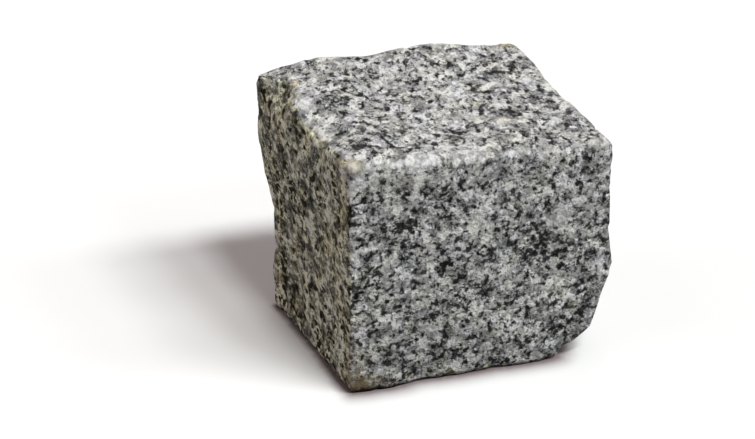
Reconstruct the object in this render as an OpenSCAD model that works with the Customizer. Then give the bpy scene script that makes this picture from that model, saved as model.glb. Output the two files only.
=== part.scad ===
// Granite paving sett: one block of hand-split granite, nominal size 10 x 10 x 10 cm.
// +Z is up. The front face looks along -Y and the left face along -X. The bed, on which
// the block stands, lies on z = 0 under the middle of the block's outline.

/* [Head] */
// Width of the head along its front arris
head_width = 102; // [85:0.5:120]
// Depth of the head from its front arris to its back left corner
head_depth = 97.5; // [80:0.5:115]
// Height of the head's front left corner above the bed
height = 91.5; // [75:0.5:110]
// How far the head falls from its front left to its front right corner
right_fall = 6.3; // [0:0.1:10]
// How far the head rises from its front left to its back left corner
left_rise = 3.5; // [0:0.5:8]
// How far the head rises from its front right to its back right corner
right_rise = 4; // [0:0.5:8]

/* [Foot] */
// Width of the foot along its front arris
foot_width = 103.5; // [85:0.5:120]
// Depth of the foot, shorter than the head where the back is undercut
foot_depth = 79; // [65:1:115]
// Height at which the back face starts to run out to the head
undercut_start = 34; // [10:1:45]
// Height at which the back face has reached the depth of the head
undercut_end = 70; // [50:1:74]

/* [Squareness] */
// How far the left face's foot stands outside its head
left_batter = 0.6; // [0:0.1:3]
// How far the front face's right end stands in front of its left end
front_skew = 2.5; // [0:0.5:6]
// How far the left face's back end stands outside its front end
left_flare = 2; // [0:0.5:6]
// How far the right face's head leans out at the back
right_flare = 2; // [0:0.5:6]
// How far the right face's foot closes in at the back
right_taper = 3; // [0:0.5:6]
// How much shallower the head is at its right than at its left
head_skew = 3; // [0:0.5:6]
// How much deeper the foot is at its right than at its left
foot_skew = 1; // [0:0.5:6]

/* [Arrises] */
// Radius to which the foot's arrises are worn
foot_arris = 1.2; // [1:0.1:3]
// Radius to which the head's arrises are worn
head_arris = 3.4; // [1:0.1:5]

/* [Corner break] */
// Length broken off the foot's front arris at the right corner
break_along = 24; // [10:1:35]
// Length broken off the foot's right arris
break_back = 50; // [20:1:60]
// Height of the steep upper part of the break
break_up = 37; // [20:1:50]

/* [Corner spall] */
// Length spalled off the head's back arris at the left corner
spall_along = 24; // [4:1:35]
// Length spalled off the head's left arris
spall_forward = 34; // [10:1:55]
// Height spalled off the back left arris
spall_down = 6.5; // [3:0.5:20]

/* [Split faces] */
// Height of the ridge that stands along the back of the head
ridge_height = 2.6; // [0:0.1:6]
// How far the front face's foot bulges out at the left corner
toe_bulge = 1.8; // [0:0.1:5]
// Depth of the scallop worn in the middle of the head's left arris
scallop_depth = 4.5; // [0:0.1:6]
// How far the head's left arris is bevelled off behind the scallop
bevel_width = 5; // [0:0.1:8]
// Depth of the hollow low in the left face
left_hollow = 1.5; // [0:0.1:4]
// Depth of the broad hollow in the head
head_hollow = 1.2; // [0:0.1:3]
// How far the middle of the front face stands proud
front_belly = 1.4; // [0:0.1:3]
// How far the lifts in the foot's front arris rise off the ground
foot_lift = 0.8; // [0:0.1:4]
// Height of the waves that splitting left on every face
wave_height = 0.3; // [0:0.1:1]

/* [Hidden] */

// Cells of the surface grid along each edge of the block
cells = 28;
// How far the rough underside is sunk, before the bed is cut flat
bed_sink = 0.8;
// Height of the block from the sunk underside to the head
full_height = height + bed_sink;
nominal = [head_width, head_depth, full_height];

// The block's eight corners before wear, as corners[right][back][head]
corners = [
    [[[-left_batter, 0, -bed_sink], [0, 0, height]],
     [[-left_flare - left_batter, foot_depth, -bed_sink],
      [-left_flare - left_batter, head_depth, height + left_rise]]],
    [[[foot_width - left_batter, -front_skew, -bed_sink], [head_width, -front_skew, height - right_fall]],
     [[foot_width - right_taper, foot_depth + foot_skew, -bed_sink],
      [head_width + right_flare, head_depth - head_skew, height - right_fall + right_rise]]]
];

function mix(a, b, t) = a + (b - a) * t;
function clip(x, low, high) = max(low, min(high, x));
function ease(start, end, x) = let (t = clip((x - start) / (end - start), 0, 1)) t * t * (3 - 2 * t);
function unit(v) = v / max(norm(v), 1e-9);
function total(values) = [for (v = values) 1] * values;

// A place in the block from its shares of the width, depth and height, with the undercut back
function place(share) =
    let (straight = between(share),
         undercut = between([share.x, share.y,
                             ease(undercut_start, undercut_end, share.z * full_height)]))
    [straight.x, undercut.y, straight.z];
function between(share) =
    mix(mix(upright(0, 0, share.z), upright(1, 0, share.z), share.x),
        mix(upright(0, 1, share.z), upright(1, 1, share.z), share.x), share.y);
function upright(right, back, share) = mix(corners[right][back][0], corners[right][back][1], share);

// Swells and hollows left by splitting, each as [where, reach, push]: the push is full at its
// place and dies away over its reach
swells = [
    [place([0.61, 1, 1]), [20, 34, 26], [0, 0, ridge_height]],
    [place([0.96, 1, 1]), [14, 26, 20], [0, 0, 1.2]],
    [place([0.22, 1, 1]), [10, 26, 20], [0, 0, 0.5]],
    [place([1, 0.62, 1]), [14, 20, 14], [-0.2, 0, -0.2]],
    [place([1, 0.2, 1]), [12, 20, 14], [0.8, 0, 0.9]],
    [place([0, 0.4, 1]), [14, 20, 16], [1.2, 0, -scallop_depth]],
    [place([0, 0.79, 1]), [7, 14, 9], [bevel_width, 0, -0.5]],
    [place([0.12, 0, 0]), [14, 12, 14], [0, -toe_bulge, 0]],
    [place([0.27, 0, 0]), [7, 12, 6], [0, 0.6, foot_lift + bed_sink]],
    [place([0.53, 0, 0]), [8, 12, 6], [0, 0.6, foot_lift / 4 + bed_sink]],
    [place([0.5, 0, 0.45]), [46, 14, 46], [0, -front_belly, 0]],
    [place([0, 0.5, 0.34]), [16, 34, 26], [left_hollow, 0, 0]],
    [place([0, 0.75, 0.8]), [14, 30, 18], [-0.7, 0, 0]],
    [place([0.48, 0.46, 1]), [30, 30, 14], [0, 0, -head_hollow]],
    [place([0.62, 1, 0.34]), [34, 16, 22], [0, -1.6, 0]],
    [place([1, 0.7, 0.42]), [14, 26, 28], [-1.5, 0, 0]]
];
function swell(p, s) =
    let (away = [(p.x - s[0].x) / s[1].x, (p.y - s[0].y) / s[1].y, (p.z - s[0].z) / s[1].z])
    exp(-pow(norm(away), 3)) * s[2];

// Waves on the split faces, each as [direction, length, share of the wave height]
waves = [
    [unit([8, 5, 3]), 43, 1],
    [unit([-4, 7, 6]), 29, 0.8],
    [unit([5, -3, 8]), 19, 0.7],
    [unit([2, 9, -4]), 15, 0.5]
];
// The waves die out towards the bed
wave_start = 10;
function wave(p) =
    wave_height * ease(0, wave_start, p.z)
    * total([for (w = waves) w[2] * sin(360 * (p * w[0]) / w[1])]);

// Corners broken off, each as [a point of the broken face, its outward normal]. The face takes
// the named lengths off the three arrises that meet in the corner.
function broken_face(corner, outward, taken) =
    [corner - [outward.x * taken.x, 0, 0],
     unit([outward.x / taken.x, outward.y / taken.y, outward.z / taken.z])];
right_foot = place([1, 0, 0]);
left_back_head = place([0, 1, 1]);
broken_faces = [
    broken_face(right_foot, [1, -1, -1], [break_along / 2, break_back * 0.8, break_up]),
    broken_face(right_foot, [1, -1, -1], [break_along, break_back, break_up / 2]),
    broken_face(left_back_head, [-1, 1, 1], [spall_along, spall_forward, spall_down])
];
function break_off(p, count = 0) =
    count == len(broken_faces) ? p
    : let (face = broken_faces[count], proud = max(0, (p - face[0]) * face[1]))
      break_off(p - proud * face[1], count + 1);

// A point of the worn surface: the block rounded at its arrises, then swollen, waved and broken
function surface_point(share) =
    let (p = [for (i = [0:2]) share[i] * nominal[i]],
         radius = mix(foot_arris, head_arris, share.z * share.z),
         core = [for (i = [0:2]) clip(p[i], radius, nominal[i] - radius)],
         outward = unit(p - core),
         worn = core + radius * outward,
         q = place([for (i = [0:2]) worn[i] / nominal[i]]),
         swollen = q + total([for (s = swells) swell(q, s)]))
    break_off(swollen + wave(swollen) * outward);

// The surface grid: rings of cells round the four sides, and a cap at the foot and at the head.
// Its lines close up towards the arrises.
crowding = 0.55;
steps = [for (i = [0:cells]) let (t = 2 * i / cells - 1) 0.5 + (mix(t, sin(90 * t), crowding)) / 2];
ring = 4 * cells;
inner = cells - 1;
function ring_step(k) =
    let (side = floor(k / cells), along = k % cells)
    side == 0 ? [along, 0] : side == 1 ? [cells, along]
    : side == 2 ? [cells - along, cells] : [0, cells - along];
function ring_index(i, j) =
    j == 0 ? i : i == cells ? cells + j : j == cells ? 3 * cells - i : (ring - j) % ring;
function cap_index(i, j, head) =
    i == 0 || j == 0 || i == cells || j == cells
    ? head * ring * cells + ring_index(i, j)
    : ring * (cells + 1) + head * inner * inner + (i - 1) * inner + j - 1;

points = [
    for (level = steps, k = [0:ring - 1])
        let (at = ring_step(k)) surface_point([steps[at.x], steps[at.y], level]),
    for (head = [0, 1], i = [1:inner], j = [1:inner]) surface_point([steps[i], steps[j], head])
];
// Each cell as four points, clockwise as seen from outside
grid_cells = [
    for (level = [0:cells - 1], k = [0:ring - 1])
        let (low = level * ring, next = (k + 1) % ring)
        [low + k, low + ring + k, low + ring + next, low + next],
    for (i = [0:cells - 1], j = [0:cells - 1])
        [cap_index(i, j, 0), cap_index(i + 1, j, 0), cap_index(i + 1, j + 1, 0), cap_index(i, j + 1, 0)],
    for (i = [0:cells - 1], j = [0:cells - 1])
        [cap_index(i, j, 1), cap_index(i, j + 1, 1), cap_index(i + 1, j + 1, 1), cap_index(i + 1, j, 1)]
];
// Each cell is split along its shorter diagonal
triangles = [
    for (c = grid_cells)
        each norm(points[c[0]] - points[c[2]]) < norm(points[c[1]] - points[c[3]])
        ? [[c[0], c[1], c[2]], [c[0], c[2], c[3]]]
        : [[c[0], c[1], c[3]], [c[1], c[2], c[3]]]
];

// The middle of the outline, which goes over the origin
above_bed = [for (p = points) if (p.z >= 0) p];
function middle(values) = (min(values) + max(values)) / 2;
middle_x = middle([for (p = above_bed) p.x]);
middle_y = middle([for (p = above_bed) p.y]);

module sett() {
    color("darkgray")
    difference() {
        translate([-middle_x, -middle_y, 0]) polyhedron(points, triangles, convexity = 6);
        ground();
    }
}

// What lies under the bed, which cuts the underside flat
module ground() {
    depth = 10 * bed_sink;
    spread = 2 * (foot_width + head_width);
    translate([0, 0, -depth / 2]) cube([spread, spread, depth], center = true);
}

sett();
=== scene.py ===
import math

import bpy
import numpy as np
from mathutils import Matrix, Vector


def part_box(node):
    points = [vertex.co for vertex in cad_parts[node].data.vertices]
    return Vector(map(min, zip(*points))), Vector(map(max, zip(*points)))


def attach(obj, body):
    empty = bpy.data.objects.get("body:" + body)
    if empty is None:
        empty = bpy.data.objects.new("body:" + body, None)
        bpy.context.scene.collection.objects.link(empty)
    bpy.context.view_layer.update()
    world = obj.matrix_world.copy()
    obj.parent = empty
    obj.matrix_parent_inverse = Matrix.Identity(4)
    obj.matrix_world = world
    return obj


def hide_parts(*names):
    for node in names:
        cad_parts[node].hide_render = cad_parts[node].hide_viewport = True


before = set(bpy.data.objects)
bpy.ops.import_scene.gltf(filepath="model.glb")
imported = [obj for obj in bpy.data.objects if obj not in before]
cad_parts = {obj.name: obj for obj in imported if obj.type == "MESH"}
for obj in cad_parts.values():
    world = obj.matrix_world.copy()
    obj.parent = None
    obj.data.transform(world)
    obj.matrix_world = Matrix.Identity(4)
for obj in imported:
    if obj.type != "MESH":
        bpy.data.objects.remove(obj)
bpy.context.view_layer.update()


# ---------------------------------------------------------------- the block
# One piece of grey biotite granite, split square on six sides with hammer and
# wedge. Its form repeats the formula of the part's source, in millimetres, and
# the finer relief of the split faces is cut into that form.

HEAD_WIDTH, HEAD_DEPTH, HEIGHT = 102.0, 97.5, 91.5
FOOT_WIDTH, FOOT_DEPTH = 103.5, 79.0
RIGHT_FALL, LEFT_RISE, RIGHT_RISE = 6.3, 3.5, 4.0
LEFT_BATTER, RIGHT_TAPER, HEAD_SKEW, FOOT_SKEW = 0.6, 3.0, 3.0, 1.0
FRONT_SKEW, LEFT_FLARE, RIGHT_FLARE = 2.5, 2.0, 2.0
UNDERCUT_START, UNDERCUT_END = 34.0, 70.0
FOOT_ARRIS, HEAD_ARRIS = 1.2, 3.4
BED_SINK = 0.8
FULL_HEIGHT = HEIGHT + BED_SINK
NOMINAL = np.array([HEAD_WIDTH, HEAD_DEPTH, FULL_HEIGHT])

# The eight corners before wear, as CORNERS[right, back, head]
CORNERS = np.array([
    [[[-LEFT_BATTER, 0, -BED_SINK], [0, 0, HEIGHT]],
     [[-LEFT_FLARE - LEFT_BATTER, FOOT_DEPTH, -BED_SINK],
      [-LEFT_FLARE - LEFT_BATTER, HEAD_DEPTH, HEIGHT + LEFT_RISE]]],
    [[[FOOT_WIDTH - LEFT_BATTER, -FRONT_SKEW, -BED_SINK], [HEAD_WIDTH, -FRONT_SKEW, HEIGHT - RIGHT_FALL]],
     [[FOOT_WIDTH - RIGHT_TAPER, FOOT_DEPTH + FOOT_SKEW, -BED_SINK],
      [HEAD_WIDTH + RIGHT_FLARE, HEAD_DEPTH - HEAD_SKEW, HEIGHT - RIGHT_FALL + RIGHT_RISE]]],
])


def ease(start, end, x):
    """A smooth step from 0 at start to 1 at end: 3t^2 - 2t^3."""
    t = np.clip((x - start) / (end - start), 0, 1)
    return t * t * (3 - 2 * t)


def unit(vectors):
    """The same directions at length 1."""
    vectors = np.asarray(vectors, float)
    return vectors / np.linalg.norm(vectors, axis=-1, keepdims=True)


def between_corners(share):
    """Trilinear blend of the eight corners by three shares of width, depth and height."""
    weight_x = np.stack([1 - share[:, 0], share[:, 0]], 1)
    weight_y = np.stack([1 - share[:, 1], share[:, 1]], 1)
    weight_z = np.stack([1 - share[:, 2], share[:, 2]], 1)
    return np.einsum("ni,nj,nk,ijkc->nc", weight_x, weight_y, weight_z, CORNERS)


def place(share):
    """The unworn block. Its depth runs out from the foot's to the head's only where the undercut ends."""
    share = np.atleast_2d(np.asarray(share, float))
    point = between_corners(share)
    rise = ease(UNDERCUT_START, UNDERCUT_END, share[:, 2] * FULL_HEIGHT)
    point[:, 1] = between_corners(np.column_stack([share[:, 0], share[:, 1], rise]))[:, 1]
    return point


# Swells and hollows that splitting left: where, reach and push
SWELLS = [
    (place([0.61, 1, 1]), [20, 34, 26], [0, 0, 2.6]),
    (place([0.96, 1, 1]), [14, 26, 20], [0, 0, 1.2]),
    (place([0.22, 1, 1]), [10, 26, 20], [0, 0, 0.5]),
    (place([1, 0.62, 1]), [14, 20, 14], [-0.2, 0, -0.2]),
    (place([1, 0.2, 1]), [12, 20, 14], [0.8, 0, 0.9]),
    (place([0, 0.4, 1]), [14, 20, 16], [1.2, 0, -4.5]),
    (place([0, 0.79, 1]), [7, 14, 9], [5.0, 0, -0.5]),
    (place([0.12, 0, 0]), [14, 12, 14], [0, -1.8, 0]),
    (place([0.27, 0, 0]), [7, 12, 6], [0, 0.6, 1.6]),
    (place([0.53, 0, 0]), [8, 12, 6], [0, 0.6, 1.0]),
    (place([0.5, 0, 0.45]), [46, 14, 46], [0, -1.4, 0]),
    (place([0, 0.5, 0.34]), [16, 34, 26], [1.5, 0, 0]),
    (place([0, 0.75, 0.8]), [14, 30, 18], [-0.7, 0, 0]),
    (place([0.48, 0.46, 1]), [30, 30, 14], [0, 0, -1.2]),
    (place([0.62, 1, 0.34]), [34, 16, 22], [0, -1.6, 0]),
    (place([1, 0.7, 0.42]), [14, 26, 28], [-1.5, 0, 0]),
]

# Long waves of the split faces: direction, length and height
WAVES = [([8, 5, 3], 43, 0.3), ([-4, 7, 6], 29, 0.24), ([5, -3, 8], 19, 0.21), ([2, 9, -4], 15, 0.15)]
WAVE_START = 10.0


def broken_face(corner, outward, taken):
    """A plane that takes the given lengths off the three arrises meeting in a corner."""
    outward, taken = np.array(outward, float), np.array(taken, float)
    return corner[0] - [outward[0] * taken[0], 0, 0], unit(outward / taken)


BREAK_ALONG, BREAK_BACK, BREAK_UP = 24.0, 50.0, 37.0
SPALL_ALONG, SPALL_FORWARD, SPALL_DOWN = 24.0, 34.0, 6.5
BROKEN_FACES = [
    broken_face(place([1, 0, 0]), [1, -1, -1], [BREAK_ALONG / 2, BREAK_BACK * 0.8, BREAK_UP]),
    broken_face(place([1, 0, 0]), [1, -1, -1], [BREAK_ALONG, BREAK_BACK, BREAK_UP / 2]),
    broken_face(place([0, 1, 1]), [-1, 1, 1], [SPALL_ALONG, SPALL_FORWARD, SPALL_DOWN]),
]


def surface_grid(cells, crowding=0.25):
    """The surface of a unit cube as a closed grid: rings of points round the four sides and a cap at
    each end, with lines that close up towards the arrises. Returns the points, the cells as four
    indices each, and for each cell's corners the panel they lie on and their place in it."""
    t = np.linspace(-1, 1, cells + 1)
    steps = 0.5 + 0.5 * ((1 - crowding) * t + crowding * np.sin(t * np.pi / 2))
    around = np.arange(4 * cells)
    side, along = np.divmod(around, cells)
    column = np.choose(side, [along, cells, cells - along, 0])
    row = np.choose(side, [0, along, cells, cells - along])
    ring = np.column_stack([steps[column], steps[row]])
    points = [np.column_stack([ring, np.full(len(ring), level)]) for level in steps]
    inner = np.arange(1, cells)
    inner_x, inner_y = (axis.ravel() for axis in np.meshgrid(inner, inner, indexing="ij"))
    for level in (0.0, 1.0):
        points.append(np.column_stack([steps[inner_x], steps[inner_y], np.full(len(inner_x), level)]))

    level, start = (axis.ravel() for axis in np.meshgrid(np.arange(cells), around, indexing="ij"))
    low, high, end = level * 4 * cells, (level + 1) * 4 * cells, (start + 1) % (4 * cells)
    quads = [np.column_stack([low + start, low + end, high + end, high + start])]
    first, last = start % cells, start % cells + 1
    panels = [np.repeat(start // cells, 4)]
    spots = [np.stack([steps[first], steps[level], steps[last], steps[level],
                       steps[last], steps[level + 1], steps[first], steps[level + 1]], 1)]
    for head in (0, 1):
        cap = np.empty((cells + 1, cells + 1), int)
        cap[column, row] = head * cells * 4 * cells + around
        cap[1:-1, 1:-1] = (4 * cells * (cells + 1) + head * (cells - 1) ** 2
                           + np.arange((cells - 1) ** 2).reshape(cells - 1, cells - 1))
        quad = np.stack([cap[:-1, :-1], cap[1:, :-1], cap[1:, 1:], cap[:-1, 1:]], -1).reshape(-1, 4)
        i, j = (axis.ravel() for axis in np.meshgrid(np.arange(cells), np.arange(cells), indexing="ij"))
        spot = np.stack([steps[i], steps[j], steps[i + 1], steps[j],
                         steps[i + 1], steps[j + 1], steps[i], steps[j + 1]], 1)
        if not head:
            quad, spot = quad[:, ::-1], spot.reshape(-1, 4, 2)[:, ::-1].reshape(-1, 8)
        quads.append(quad)
        spots.append(spot)
        panels.append(np.full(len(quad) * 4, 4 + head))
    return (np.concatenate(points), np.concatenate(quads),
            np.concatenate(panels), np.concatenate(spots).reshape(-1, 2))


# The noise's lattice repeats after this many nodes, and its sum is brought up to fill -1 to 1
LATTICE_NODES, NOISE_GAIN = 16, 1.6


def rock_noise(points, size, seed):
    """Gradient noise from -1 to 1: on a cubic lattice of the given size each node has a random slope,
    and a point blends the slopes of its eight nodes with a smooth step."""
    table = unit(np.random.default_rng(seed).normal(size=(LATTICE_NODES,) * 3 + (3,)))
    scaled = points / size
    node = np.floor(scaled).astype(int)
    inside = scaled - node
    blend = inside ** 3 * (inside * (inside * 6 - 15) + 10)
    height = np.zeros(len(points))
    for corner in np.ndindex(2, 2, 2):
        slope = table[tuple(((node + corner) % LATTICE_NODES).T)]
        weight = np.prod(np.where(corner, blend, 1 - blend), axis=1)
        height += weight * np.sum(slope * (inside - corner), axis=1)
    return height * NOISE_GAIN


# Relief of the split faces, finer than the source's: size, height and seed. A share of each is
# folded to crests, as between two flakes, and the crests stand a little above the source's form
RELIEF = [(17, 0.55, 11), (8.5, 0.42, 12), (4.6, 0.34, 13), (2.6, 0.26, 14)]
CREST_SHARE = 0.5
CREST_LEVEL = 0.35


def split_relief(points):
    """Depth below the source's form: the sum of noise of several sizes, each partly a plain swell and
    partly folded at zero to crests, less the level of the crests."""
    depth = np.full(len(points), -CREST_LEVEL)
    for size, height, seed in RELIEF:
        wave = rock_noise(points, size, seed)
        depth += height * ((1 - CREST_SHARE) * (0.5 - 0.5 * wave) + CREST_SHARE * np.abs(wave))
    return depth


# Small pits, and the notch in the back edge: where, reach and depth
PITS = [(place([0.05, 0.77, 1]), 2.4, 1.6), (place([0.02, 0, 0.46]), 1.3, 1.3),
        (place([0, 1, 1]), 4.0, 1.0), (place([0.14, 0.98, 1]), 6.0, 0.6), (place([0.43, 1, 1]), 2.6, 1.1)]

# A chip knocked back out of the foot of the front: where, reach and push
FOOT_CHIP_AT, FOOT_CHIP_REACH, FOOT_CHIP_PUSH = place([0.83, 0, 0.04]), 3.4, np.array([0, 2.3, 0.7])

# The sides draw in where they meet the ground: by what share of the width, and up to what height
FOOT_DRAW, FOOT_DRAW_HEIGHT = 0.022, 1.4

# Chips knocked off the arrises: how deep, how far in from the arris they reach, their size and seed,
# and the levels of noise at which one begins and is full
CHIP_DEPTH, CHIP_REACH, CHIP_SIZE, CHIP_SEED = 0.9, 3.0, 6.0, 31
CHIP_BEGINS, CHIP_FULL = 0.05, 0.6


def worn_block(share):
    """The worn stone: the block is rounded at its arrises, swollen, waved and broken by the source's
    formula, then lowered by the split relief, by pits and by chips, chipped at the foot, cut level with
    the ground and drawn in there. Returns each point, its outward direction and how near an arris it is."""
    flat = share * NOMINAL
    radius = (FOOT_ARRIS + (HEAD_ARRIS - FOOT_ARRIS) * share[:, 2] ** 2)[:, None]
    core = np.clip(flat, radius, NOMINAL - radius)
    outward = unit(flat - core)
    plain = place((core + radius * outward) / NOMINAL)
    point = plain.copy()
    for at, reach, push in SWELLS:
        away = np.linalg.norm((plain - at) / np.array(reach, float), axis=1)
        point += np.exp(-away ** 3)[:, None] * np.array(push, float)
    wave = sum(height * np.sin(2 * np.pi * (point @ unit(direction)) / length)
               for direction, length, height in WAVES)
    point += (wave * ease(0, WAVE_START, point[:, 2]))[:, None] * outward
    for on_face, normal in BROKEN_FACES:
        point -= np.maximum((point - on_face) @ normal, 0)[:, None] * normal

    to_arris = np.sort(np.minimum(flat, NOMINAL - flat), axis=1)[:, 1]
    near_arris = np.exp(-(to_arris / CHIP_REACH) ** 2)
    chip = ease(CHIP_BEGINS, CHIP_FULL, rock_noise(point, CHIP_SIZE, CHIP_SEED)) * near_arris
    lowered = split_relief(point) + CHIP_DEPTH * chip
    for at, reach, depth in PITS:
        lowered += depth * np.exp(-(np.linalg.norm(point - at, axis=1) / reach) ** 2)
    point -= lowered[:, None] * outward
    chipped = np.exp(-(np.linalg.norm(point - FOOT_CHIP_AT, axis=1) / FOOT_CHIP_REACH) ** 2)
    point += chipped[:, None] * FOOT_CHIP_PUSH
    point[:, 2] = np.maximum(point[:, 2], 0)
    middle = (point[:, :2].min(0) + point[:, :2].max(0)) / 2
    drawn = FOOT_DRAW * np.exp(-(point[:, 2] / FOOT_DRAW_HEIGHT) ** 2)
    point[:, :2] += (middle - point[:, :2]) * drawn[:, None]
    return point, outward, near_arris


def shaped_mesh(name, points, quads):
    """A mesh from whole arrays of points and four-sided cells."""
    mesh = bpy.data.meshes.new(name)
    mesh.vertices.add(len(points))
    mesh.vertices.foreach_set("co", points.ravel())
    mesh.loops.add(quads.size)
    mesh.loops.foreach_set("vertex_index", quads.ravel())
    mesh.polygons.add(len(quads))
    mesh.polygons.foreach_set("loop_start", np.arange(0, quads.size, quads.shape[1]))
    mesh.update(calc_edges=True)
    mesh.validate()
    piece = bpy.data.objects.new(name, mesh)
    bpy.context.scene.collection.objects.link(piece)
    return piece


# Cells along each edge of each face of the block
CELLS = 126
share, cells, panel, spot = surface_grid(CELLS)
surface, outward, near_arris = worn_block(share)
# The stone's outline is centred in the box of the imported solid
low, high = np.array(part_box("sett"))
surface[:, :2] -= (surface[:, :2].min(0) + surface[:, :2].max(0)) / 2
surface = surface / 1000
surface[:, :2] += (low + high)[:2] / 2
block = shaped_mesh("granite_block", surface, cells)
block.data.polygons.foreach_set("use_smooth", np.ones(len(cells), bool))

# Each of the six faces has a panel of its own on the block's map, in three columns and two rows
PANEL_COLUMNS, PANEL_ROWS, PANEL_GAP = 3, 2, 0.01
panel_corner = np.column_stack([panel % PANEL_COLUMNS / PANEL_COLUMNS, panel // PANEL_COLUMNS / PANEL_ROWS])
panel_size = np.array([1 / PANEL_COLUMNS, 1 / PANEL_ROWS])
on_map = panel_corner + PANEL_GAP / 2 + spot * (panel_size - PANEL_GAP)
block.data.uv_layers.new(name="OFBake").data.foreach_set("uv", on_map.ravel())

# What marks the stone's surface is placed on it in millimetres
surface_mm = surface * 1000


def mark(name, values):
    """A value from 0 to 1 for each point of the block, which its material reads by name."""
    block.data.attributes.new(name, "FLOAT", "POINT").data.foreach_set("value", np.clip(values, 0, 1))


def spots(places):
    """The sum of soft spots, each given as where, reach and strength, in millimetres."""
    return sum(strength * np.exp(-np.linalg.norm((surface_mm - at) / np.array(reach), axis=1) ** 2)
               for at, reach, strength in places)


# Soil and iron have soaked into the left face as far as its arrises, and into the rim of the foot.
# The material also paints these places lighter, as painted light on the shaded left face
SOAKED_EDGE, SOAKED_RIM, RIM_STRENGTH = 2.5, 5.0, 0.3
foot_rim = np.exp(-(surface_mm[:, 2] / SOAKED_RIM) ** 2)
across = share * NOMINAL
round_front = ease(-SOAKED_EDGE, SOAKED_EDGE, across[:, 1] - across[:, 0])
round_back = ease(-SOAKED_EDGE, SOAKED_EDGE, NOMINAL[1] - across[:, 1] - across[:, 0])
leftward = -outward[:, 0] / np.maximum(np.hypot(outward[:, 0], outward[:, 2]), 1e-9)
below_head = ease(0.4, 0.9, leftward)
mark("stain_and_painted_light", round_front * round_back * below_head + RIM_STRENGTH * foot_rim
     + spots([([-48, -49, 2], 8, 0.6), ([-48, -44, 86], 7, -0.8)]))
# Ochre stains of single grains, and broad yellowish feldspars
mark("ochre", spots([([-50, -26, 52], [3, 2.5, 9], 0.35), ([-50, -42, 70], [3, 3, 8], 0.15),
                     ([-44.3, 28.7, 92.5], 1.7, 1.0), ([48, 43, 90], 2.6, 0.7),
                     ([-47, -44, 90], [3, 4, 2.5], 0.5), ([-45, -49, 2], 4, 0.15),
                     ([20, -21, 88], 2.2, 0.3), ([11, -15, 88], 1.8, 0.25), ([-12, -48, 2], 4, 0.2)]))
# Painted shade: the lowest rim, where the stone meets the ground, a small pit on the front left arris
# and a hollow by the back left corner of the head are painted near black. Soil darkens the front left
# corner of the foot, and the front is painted darker towards its foot at the left
SHADED_RIM = 1.0
mark("shade_and_soil", np.exp(-(surface_mm[:, 2] / SHADED_RIM) ** 2)
     + spots([([-45, -49, 2], [7, 3, 3.5], 0.5), ([-28, -50, 10], [24, 8, 16], 0.25),
              ([-47.6, -47.6, 39.6], [1.1, 2.5, 1.6], 2), ([-47.3, 35.4, 90.7], [2.0, 3.0, 2.0], 0.3)]))
# Brown earth clings to the front left corner of the foot
mark("earth", spots([([-46, -49, 2], [10, 5, 4.5], 0.8), ([-50, -48, 10], [5, 4, 12], 0.4)]))
# Clusters of biotite, and patches that have almost none; the rock's plain share is a half. The last
# spot fills a small pit on the front left arris with black flakes, as painted shade
mark("biotite", 0.5 + 0.5 * spots([([-29, -48, 63], 7, 0.7), ([19, -50, 46], [7, 6, 9], 0.6),
                                   ([-40, -32, 91], [9, 8, 5], 0.5), ([-52, 11, 79], [6, 8, 7], -0.5),
                                   ([32, -50, 60], 6, -0.4), ([38, -50, 20], 6, 0.4),
                                   ([0, -50, 34], 5, 0.3), ([-53, 25, 63.5], [4, 5, 4], 0.8),
                                   ([-51, -6, 75], [4, 6, 4], 0.8), ([-48, 14, 93], [5, 10, 4], -0.8),
                                   ([-49, -12, 87], [5, 10, 4], -0.8), ([-48, -32, 90], [5, 8, 4], -0.8),
                                   ([40, 20, 88], 7, 0.4), ([-30, -48, 71], 3, -1), ([-1, -50, 61], 4, -1),
                                   ([-24, -48, 86], 5, -0.6), ([2, -46, 87], 5, -0.4),
                                   ([20, -21, 88], 3, -1), ([-47, -47, 86], 5, -0.6),
                                   ([-48, -47, 42], 1.8, 2)]))
# A few feldspars have grown larger than the rest
mark("large_grain", spots([([-32.4, -47.6, 71.8], 2.3, 1.3), ([-23.8, -48.8, 32.7], 2.0, 1.2),
                           ([22.7, -49.2, 35.2], 1.7, 1.2), ([11.0, -49.8, 35.9], 1.8, 1.2),
                           ([-3.0, -49.0, 60.6], [1.7, 3.0, 3.2], 1.2), ([-23.7, -48.2, 82.6], 2.2, 0.9),
                           ([-8.5, -48.5, 5.2], 2.6, 0.9), ([19.5, -21.7, 88.3], [2.8, 2.6, 2], 1.2),
                           ([10.9, -17.7, 87.8], [2.2, 2.6, 2], 1.1), ([26.7, -23.7, 88.0], 2.0, 1.2)]))
# Feet and wheels have crushed the head's grains to a paler grey, most of all along its arrises
HEAD_CRUSHED, ARRIS_CRUSHED = 0.3, 0.5
mark("crushed", ease(0.3, 0.9, outward[:, 2]) * HEAD_CRUSHED
     + ARRIS_CRUSHED * near_arris * ease(0.7, 0.95, share[:, 2])
     + spots([([-38, -48, 88], [7, 5, 5], 0.4), ([-28, -48, 87], [7, 5, 5], 0.4),
              ([-17, -48, 87], [7, 5, 5], 0.4), ([-7, -48, 86], 5, 0.4), ([3, -48, 85], 5, 0.4),
              ([14, -48, 85], 4, 0.3)]))


def add_node(tree, kind, settings=None, inputs=None):
    """A shader node with its settings, and its inputs by name: a socket is linked and a value is set."""
    node = tree.nodes.new(kind)
    for name, value in (settings or {}).items():
        setattr(node, name, value)
    for name, value in (inputs or {}).items():
        if isinstance(value, bpy.types.NodeSocket):
            tree.links.new(value, node.inputs[name])
        else:
            node.inputs[name].default_value = value
    return node


def reckon(tree, operation, *values, vector=False):
    """A sum, product or other operation on values or sockets, of numbers or of vectors."""
    kind = "ShaderNodeVectorMath" if vector else "ShaderNodeMath"
    return add_node(tree, kind, {"operation": operation}, dict(enumerate(values))).outputs[0]


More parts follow.
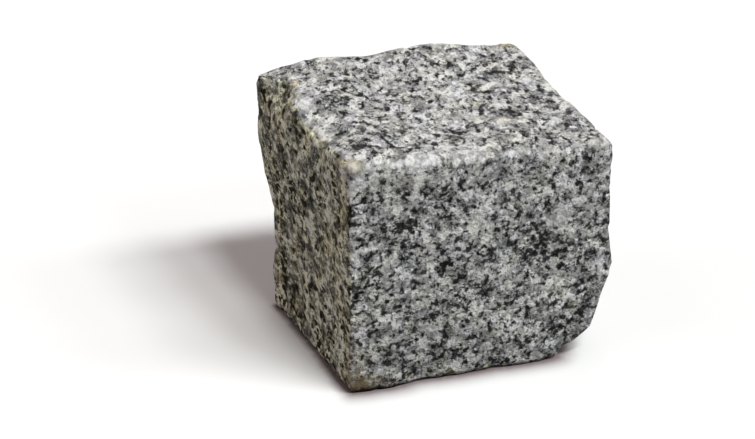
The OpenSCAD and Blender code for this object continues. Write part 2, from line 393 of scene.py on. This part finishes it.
def ramp(tree, value, start, end, low=0.0, high=1.0):
    """A smooth step from low to high as the value goes from start to end."""
    inputs = {"Value": value, "From Min": start, "From Max": end, "To Min": low, "To Max": high}
    return add_node(tree, "ShaderNodeMapRange", {"interpolation_type": "SMOOTHSTEP"}, inputs).outputs[0]


def spread(tree, noise, low=0.0, high=1.0):
    """Cloudy noise, which keeps mostly between 0.3 and 0.7, spread smoothly from low to high."""
    return ramp(tree, noise, 0.3, 0.7, low, high)


def paint(tree, share, below, above, how="MIX"):
    """The colour above laid over the colour below by a share from 0 to 1."""
    node = add_node(tree, "ShaderNodeMix", {"data_type": "RGBA", "blend_type": how}, {0: share})
    for index, colour in ((6, below), (7, above)):
        if isinstance(colour, bpy.types.NodeSocket):
            tree.links.new(colour, node.inputs[index])
        else:
            node.inputs[index].default_value = (*colour, 1)
    return node.outputs[2]


def speckle(tree, where, size, detail=2.0, roughness=0.5):
    """Cloudy noise with blobs of about the given size in millimetres, as value and colour sockets."""
    inputs = {"Vector": where, "Scale": 1 / size, "Detail": detail, "Roughness": roughness}
    node = add_node(tree, "ShaderNodeTexNoise", {}, inputs)
    return node.outputs["Fac"], node.outputs["Color"]


def shares(tree, colour):
    """The red, green and blue of a colour as three shares from 0 to 1."""
    return add_node(tree, "ShaderNodeSeparateColor", {}, {"Color": colour}).outputs[:3]


def crystals(tree, where, size, blur=0.3):
    """Crystals of about the given size in millimetres, a little blurred into one another: each has
    two random shares of its own."""
    inputs = {"Vector": where, "Scale": 1 / size, "Smoothness": blur, "Randomness": 1.0}
    node = add_node(tree, "ShaderNodeTexVoronoi", {"feature": "SMOOTH_F1"}, inputs)
    return shares(tree, node.outputs["Color"])[:2]


def stretched(tree, where, scale):
    """The place with each of its three axes multiplied, which shortens a pattern or draws it out."""
    return add_node(tree, "ShaderNodeMapping", {}, {"Vector": where, "Scale": scale}).outputs[0]


def shaken(tree, where, size, reach):
    """The place moved about by cloudy noise, so that straight borders become ragged."""
    noise = speckle(tree, where, size, detail=3.0)[1]
    centred = reckon(tree, "SUBTRACT", noise, (0.5, 0.5, 0.5), vector=True)
    moved = add_node(tree, "ShaderNodeVectorMath", {"operation": "SCALE"}, {0: centred, "Scale": reach})
    return reckon(tree, "ADD", where, moved.outputs[0], vector=True)


granite = bpy.data.materials.new("granite")
granite.use_nodes = True
rock = granite.node_tree
at_object = add_node(rock, "ShaderNodeTexCoord").outputs["Object"]
# In millimetres, with the grains drawn out in one level direction, from the front left to the back right
GRAIN_TURN, GRAIN_STRETCH = math.radians(-20), 1.5
in_mm = add_node(rock, "ShaderNodeMapping", {"vector_type": "TEXTURE"},
                 {"Vector": at_object, "Rotation": (0, 0, GRAIN_TURN),
                  "Scale": (0.001, 0.001 * GRAIN_STRETCH, 0.001)}).outputs[0]


def marked(name):
    """The value which the block's mesh carries under a name."""
    return add_node(rock, "ShaderNodeAttribute", {"attribute_name": name}).outputs["Fac"]


crushed, stain_and_painted_light, rich = marked("crushed"), marked("stain_and_painted_light"), marked("biotite")

# Feldspar and quartz: pale and grey crystals of two to three millimetres, grown into one another
CRYSTAL_SIZE = 2.5
FELDSPAR_GREY, FELDSPAR_WHITE, LARGE_FELDSPAR = (0.50, 0.50, 0.50), (0.80, 0.80, 0.80), (0.74, 0.74, 0.70)
QUARTZ_DARK, QUARTZ_PALE = (0.26, 0.26, 0.26), (0.46, 0.46, 0.46)
grain_place = shaken(rock, in_mm, 1.9, 2.2)
pick, tone = crystals(rock, grain_place, CRYSTAL_SIZE, blur=0.5)
feldspar = paint(rock, tone, FELDSPAR_GREY, FELDSPAR_WHITE)
quartz = paint(rock, tone, QUARTZ_DARK, QUARTZ_PALE)
minerals = paint(rock, ramp(rock, pick, 0.2, 0.65), quartz, feldspar)

large_edge = spread(rock, speckle(rock, in_mm, 1.6, detail=3.0)[0], -0.3, 0.3)
is_large = ramp(rock, reckon(rock, "ADD", marked("large_grain"), large_edge), 0.4, 0.65)
minerals = paint(rock, is_large, minerals, LARGE_FELDSPAR)

# Biotite: black flakes of a millimetre or two that crowd in clusters, with fine specks between. Fewer
# show where the grains are crushed or soaked
CLUSTER_SIZE, FLAKE_SIZE, SPECK_SIZE = 4.5, 2.1, 0.85
BIOTITE_BLACK, BIOTITE_GREY = (0.015, 0.015, 0.016), (0.055, 0.054, 0.056)
cloud = speckle(rock, in_mm, CLUSTER_SIZE, detail=3.0)[0]
crowd = reckon(rock, "ADD", spread(rock, cloud, -0.07, 0.07), ramp(rock, rich, 0.0, 1.0, -0.10, 0.10))
crowd = reckon(rock, "SUBTRACT", crowd, ramp(rock, crushed, 0.0, 1.0, 0.0, 0.07))
flake_place = shaken(rock, in_mm, 1.4, 1.2)
flakes = speckle(rock, flake_place, FLAKE_SIZE, detail=3.0)[0]
is_flake = ramp(rock, reckon(rock, "ADD", flakes, crowd), 0.48, 0.63)
specks = speckle(rock, in_mm, SPECK_SIZE, detail=1.0)[0]
is_speck = ramp(rock, reckon(rock, "ADD", specks, crowd), 0.55, 0.68, 0.0, 0.85)
is_flake = reckon(rock, "MULTIPLY", is_flake, ramp(rock, crushed, 0.3, 1.0, 1.0, 0.6))
is_flake = reckon(rock, "MULTIPLY", is_flake, ramp(rock, stain_and_painted_light, 0.3, 1.0, 1.0, 0.6))
is_dark = reckon(rock, "MAXIMUM", is_flake, is_speck)
is_dark = reckon(rock, "MULTIPLY", is_dark, ramp(rock, is_large, 0.0, 1.0, 1.0, 0.15))
fine_cloud = speckle(rock, in_mm, 1.5, detail=4.0, roughness=0.6)[0]
biotite = paint(rock, ramp(rock, fine_cloud, 0.35, 0.65), BIOTITE_BLACK, BIOTITE_GREY)
minerals = paint(rock, is_dark, minerals, biotite)

# Cleavage and fine cracks make each crystal uneven, and none is whiter than worn feldspar
WORN_WHITE = (0.77, 0.77, 0.77)
uneven = reckon(rock, "MULTIPLY", ramp(rock, fine_cloud, 0.25, 0.75, 0.55, 1.42),
                spread(rock, cloud, 1.2, 0.78))
uneven = reckon(rock, "MULTIPLY", uneven, ramp(rock, crushed, 0.3, 1.0, 0.955, 1.04))
minerals = reckon(rock, "MULTIPLY", minerals, uneven, vector=True)
minerals = reckon(rock, "MINIMUM", minerals, WORN_WHITE, vector=True)

# Faint cool and warm patches
COOL_PATCH, WARM_PATCH = (0.99, 0.99, 1.01), (1.01, 1.0, 0.95)
patches = spread(rock, speckle(rock, in_mm, 7.0, detail=1.0)[0])
minerals = paint(rock, 1.0, minerals, paint(rock, patches, COOL_PATCH, WARM_PATCH), "MULTIPLY")

# Iron has run down the soaked face in streaks: it deepens the grey grains and yellows the pale ones.
# The stained colour is also painted much lighter, as painted light on the shaded face, and less so
# where the grains are crushed, on the lit head and its arrises
IRON_FAINT_AND_PAINTED_LIGHT, IRON_STRONG_AND_PAINTED_LIGHT, IRON_WHITE = (1.76, 1.83, 1.47), (1.85, 1.77, 1.27), (0.88, 0.88, 0.75)
streaks_place = stretched(rock, in_mm, (1, 1, 0.25))
streaks = spread(rock, speckle(rock, streaks_place, 4.0)[0], 0.6, 1.3)
stain_edge = reckon(rock, "ADD", stain_and_painted_light, spread(rock, speckle(rock, in_mm, 3.5, detail=3.0)[0], -0.45, 0.45))
stain_and_light_share = reckon(rock, "MULTIPLY", ramp(rock, stain_edge, 0.35, 0.65), streaks)
bands = speckle(rock, streaks_place, 5.0)[0]
blotches = speckle(rock, in_mm, 9.0)[0]
stained_and_painted_light = add_node(rock, "ShaderNodeGamma", {}, {"Color": minerals, "Gamma": 1.2}).outputs[0]
stained_and_painted_light = reckon(rock, "MULTIPLY", stained_and_painted_light, spread(rock, bands, 1.2, 0.8), vector=True)
stained_and_painted_light = reckon(rock, "MULTIPLY", stained_and_painted_light, spread(rock, blotches, 1.25, 0.75), vector=True)
stained_and_painted_light = reckon(rock, "MULTIPLY", stained_and_painted_light, ramp(rock, crushed, 0.1, 0.5, 1.0, 0.6), vector=True)
iron = ramp(rock, speckle(rock, streaks_place, 8.0, detail=3.0)[0], 0.4, 0.62)
stained_and_painted_light = paint(rock, 1.0, stained_and_painted_light, paint(rock, iron, IRON_FAINT_AND_PAINTED_LIGHT, IRON_STRONG_AND_PAINTED_LIGHT), "MULTIPLY")
stained_and_painted_light = reckon(rock, "MINIMUM", stained_and_painted_light, IRON_WHITE, vector=True)
minerals = paint(rock, stain_and_light_share, minerals, stained_and_painted_light)

# Within the stain, small pits and the pores between the grains are painted dark: painted shade in the
# hollows, with soil lodged there
PIT_SIZE, PORE_SIZE = 2.6, 2.8
PIT_SHADE_AND_SOIL = (0.04, 0.035, 0.03)
pore_place = stretched(rock, flake_place, (1, 0.8, 1))
pores = reckon(rock, "ADD", speckle(rock, pore_place, PORE_SIZE, detail=4.0, roughness=0.62)[0],
               spread(rock, bands, -0.05, 0.05))
pores = reckon(rock, "ADD", pores, ramp(rock, rich, 0.0, 1.0, -0.06, 0.06))
pits = add_node(rock, "ShaderNodeTexVoronoi", {}, {"Vector": in_mm, "Scale": 1 / PIT_SIZE})
pit_edge = reckon(rock, "ADD", pits.outputs["Distance"], spread(rock, pores, 0.35, -0.35))
is_pit = reckon(rock, "MULTIPLY", ramp(rock, pit_edge, 0.34, 0.5, 1.0, 0.0),
                ramp(rock, shares(rock, pits.outputs["Color"])[0], 0.05, 0.35))
is_pore = ramp(rock, pores, 0.50, 0.62, 0.0, 0.8)
shaded_and_soiled = reckon(rock, "MULTIPLY", stain_and_light_share, reckon(rock, "MAXIMUM", is_pit, is_pore))
minerals = paint(rock, shaded_and_soiled, minerals, paint(rock, 1.0, minerals, PIT_SHADE_AND_SOIL, "MULTIPLY"))

# Earth and ochre lie on the marked places in ragged patches, and the near black of the painted shade
# and the soil lies on theirs
EARTH, OCHRE, SHADE_AND_SOIL_BLACK = (0.21, 0.15, 0.09), (0.76, 0.68, 0.45), (0.008, 0.006, 0.005)
ragged = ramp(rock, speckle(rock, in_mm, 2.0)[0], 0.35, 0.6, 0.2, 1.2)
minerals = paint(rock, reckon(rock, "MULTIPLY", marked("earth"), ragged), minerals, EARTH)
minerals = paint(rock, reckon(rock, "MULTIPLY", marked("ochre"), ragged), minerals, OCHRE)
minerals = paint(rock, marked("shade_and_soil"), minerals, SHADE_AND_SOIL_BLACK)

PALE_ROUGHNESS, BIOTITE_ROUGHNESS = (0.65, 0.65, 0.65), (0.45, 0.45, 0.45)
shader = rock.nodes["Principled BSDF"]
shader.inputs["Specular IOR Level"].default_value = 0.01
rock.links.new(minerals, shader.inputs["Base Color"])
rock.links.new(paint(rock, is_dark, PALE_ROUGHNESS, BIOTITE_ROUGHNESS), shader.inputs["Roughness"])

# Fine relief of the split crystals, in metres: each is broken a little higher or lower than the next,
# and its break is gritty
STEP_HEIGHT, GRIT_HEIGHT = 0.0002, 0.0009
steps = reckon(rock, "MULTIPLY", tone, STEP_HEIGHT)
grit = reckon(rock, "MULTIPLY", speckle(rock, in_mm, 1.6, detail=4.0, roughness=0.6)[0], GRIT_HEIGHT)
relief = reckon(rock, "ADD", steps, grit)
bump = add_node(rock, "ShaderNodeBump", {}, {"Height": relief, "Distance": 1.0, "Strength": 1.0})
rock.links.new(bump.outputs[0], shader.inputs["Normal"])
block.data.materials.append(granite)

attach(block, "root")
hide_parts("sett")


# ---------------------------------------------------------------- the floor
# A matt studio floor: pale grey, and seen by the camera as white, so that it
# keeps the stone's shadow and does not throw all its light back at the stone.

# The floor's grid is fine round the stone's foot and wide beyond it
FLOOR_REACH, FINE_REACH, FINE_STEP = 4.0, 0.09, 0.0015
wide_lines = np.array([0.3, 1, FLOOR_REACH])
fine_lines = np.arange(-FINE_REACH, FINE_REACH + FINE_STEP / 3, FINE_STEP)
lines = np.concatenate([-wide_lines[::-1], fine_lines, wide_lines])
line_x, line_y = (axis.ravel() for axis in np.meshgrid(lines, lines, indexing="ij"))
floor_points = np.column_stack([line_x, line_y, np.zeros(len(line_x))])
number = np.arange(len(lines) ** 2).reshape(len(lines), len(lines))
floor_cells = np.stack([number[:-1, :-1], number[1:, :-1], number[1:, 1:], number[:-1, 1:]], -1)
floor_cells = floor_cells.reshape(-1, 4)
floor = shaped_mesh("floor", floor_points, floor_cells)

# A painted shadow: the paper is painted darker under the stone and close to its foot, most of all in
# front, which deepens the shadow where the stone stands. It fades with the square of the distance left to its
# reach
PAINTED_SHADOW, PAINTED_SHADOW_REACH, FRONT_PAINTED_SHADOW_REACH = 0.8, 0.003, 0.011
FOOT_LOW, FOOT_HIGH = 0.001, 0.003
foot = surface[(surface[:, 2] > FOOT_LOW) & (surface[:, 2] < FOOT_HIGH)][:, :2]
distance = np.hypot(*(floor_points[:, None, :2] - foot).transpose(2, 0, 1))
nearest = np.argmin(distance, axis=1)
distance = distance[np.arange(len(nearest)), nearest]
under = np.sum((floor_points[:, :2] - foot[nearest]) * foot[nearest], axis=1) < 0
towards = unit(floor_points[:, :2] - 0.9 * foot[nearest])
painted_shadow_reach = PAINTED_SHADOW_REACH + (FRONT_PAINTED_SHADOW_REACH - PAINTED_SHADOW_REACH) * ease(0.1, 0.9, -towards[:, 1])
painted_shadow = PAINTED_SHADOW * np.clip(1 - np.where(under, 0, distance) / painted_shadow_reach, 0, 1) ** 2
floor.data.attributes.new("painted_shadow", "FLOAT", "POINT").data.foreach_set("value", painted_shadow)


def seen_directly(tree):
    """1 where the camera sees a surface, straight or in gloss or glass, and 0 where light falls on it."""
    path = add_node(tree, "ShaderNodeLightPath")
    return reckon(tree, "MAXIMUM", path.outputs["Is Camera Ray"],
                  reckon(tree, "MAXIMUM", path.outputs["Is Glossy Ray"], path.outputs["Is Transmission Ray"]))


FLOOR_GREY, WHITE, PAINTED_SHADOW_TINT = (0.2, 0.2, 0.2), (1.0, 1.0, 1.0), (0.07, 0.0, 0.01)
white = bpy.data.materials.new("studio_white")
white.use_nodes = True
paper = white.node_tree
paper_shader = paper.nodes["Principled BSDF"]
# The camera sees the paper white, tinted darker by the painted shadow round the foot
painted_shadow_share = add_node(paper, "ShaderNodeAttribute", {"attribute_name": "painted_shadow"}).outputs["Fac"]
paper_seen_with_painted_shadow = paint(paper, painted_shadow_share, WHITE, PAINTED_SHADOW_TINT)
paper.links.new(paint(paper, seen_directly(paper), FLOOR_GREY, paper_seen_with_painted_shadow), paper_shader.inputs["Base Color"])
paper_shader.inputs["Roughness"].default_value = 1.0
paper_shader.inputs["Specular IOR Level"].default_value = 0.0
floor.data.materials.append(white)


# ---------------------------------------------------------------- light and camera
# A long strip lamp stands high in front of the stone and runs out and down to
# its right, as a row of soft suns. Weaker lamps stand behind and to the left,
# and an even surround, white to the eye and dim as a lamp, fills the shadows.

SURROUND_LIGHT = (0.10, 0.088, 0.086)
world = bpy.data.worlds.new("surround")
world.use_nodes = True
surround = world.node_tree
surround.links.new(paint(surround, seen_directly(surround), SURROUND_LIGHT, WHITE),
                   surround.nodes["Background"].inputs["Color"])
bpy.context.scene.world = world


def sun(name, towards, light, angle, tint):
    """A distant lamp in the given direction, as bright as the given share of white on a level floor."""
    towards = unit(towards)
    lamp = bpy.data.lights.new(name, "SUN")
    lamp.color = tint
    lamp.energy = math.pi * light / towards[2]
    lamp.angle = math.radians(angle)
    holder = bpy.data.objects.new(name, lamp)
    holder.rotation_euler = (math.acos(towards[2]), 0, math.atan2(towards[1], towards[0]) + math.pi / 2)
    bpy.context.scene.collection.objects.link(holder)


COOL, WARM = (0.97, 1.0, 0.99), (1.0, 0.88, 0.86)
STRIP_ANGLE, WEAK_ANGLE, FILL_ANGLE = 11, 30, 60
STRIP = [([0.1, -0.57, 1], 0.28), ([0.35, -0.57, 1], 0.19), ([0.6, -0.57, 1], 0.17),
         ([1.0, -0.57, 1], 0.06), ([0.5, -1.2, 1], 0.07), ([1.2, -0.8, 1], 0.04)]
for towards, light in STRIP:
    sun("strip", towards, light, STRIP_ANGLE, COOL)
sun("behind", [0.2, 0.35, 1], 0.08, WEAK_ANGLE, WARM)
sun("left", [-0.8, 0.2, 1], 0.05, WEAK_ANGLE, WARM)
sun("fill", [-1, -0.1, 0.15], 0.035, FILL_ANGLE, WARM)

CAMERA_AZIMUTH, CAMERA_ELEVATION = math.radians(-20.7), math.radians(25)
CAMERA_DISTANCE, CAMERA_LENS = 1.191, 150
CAMERA_AIM = np.array([-0.0198, 0.0053, 0.0427])
back = np.array([math.sin(CAMERA_AZIMUTH) * math.cos(CAMERA_ELEVATION),
                 -math.cos(CAMERA_AZIMUTH) * math.cos(CAMERA_ELEVATION), math.sin(CAMERA_ELEVATION)])
camera = bpy.data.objects.new("camera", bpy.data.cameras.new("camera"))
camera.data.lens = CAMERA_LENS
camera.location = CAMERA_AIM + back * CAMERA_DISTANCE
camera.rotation_euler = (math.pi / 2 - CAMERA_ELEVATION, 0, CAMERA_AZIMUTH)
bpy.context.scene.collection.objects.link(camera)
bpy.context.scene.camera = camera
bpy.context.scene.view_settings.view_transform = "Standard"
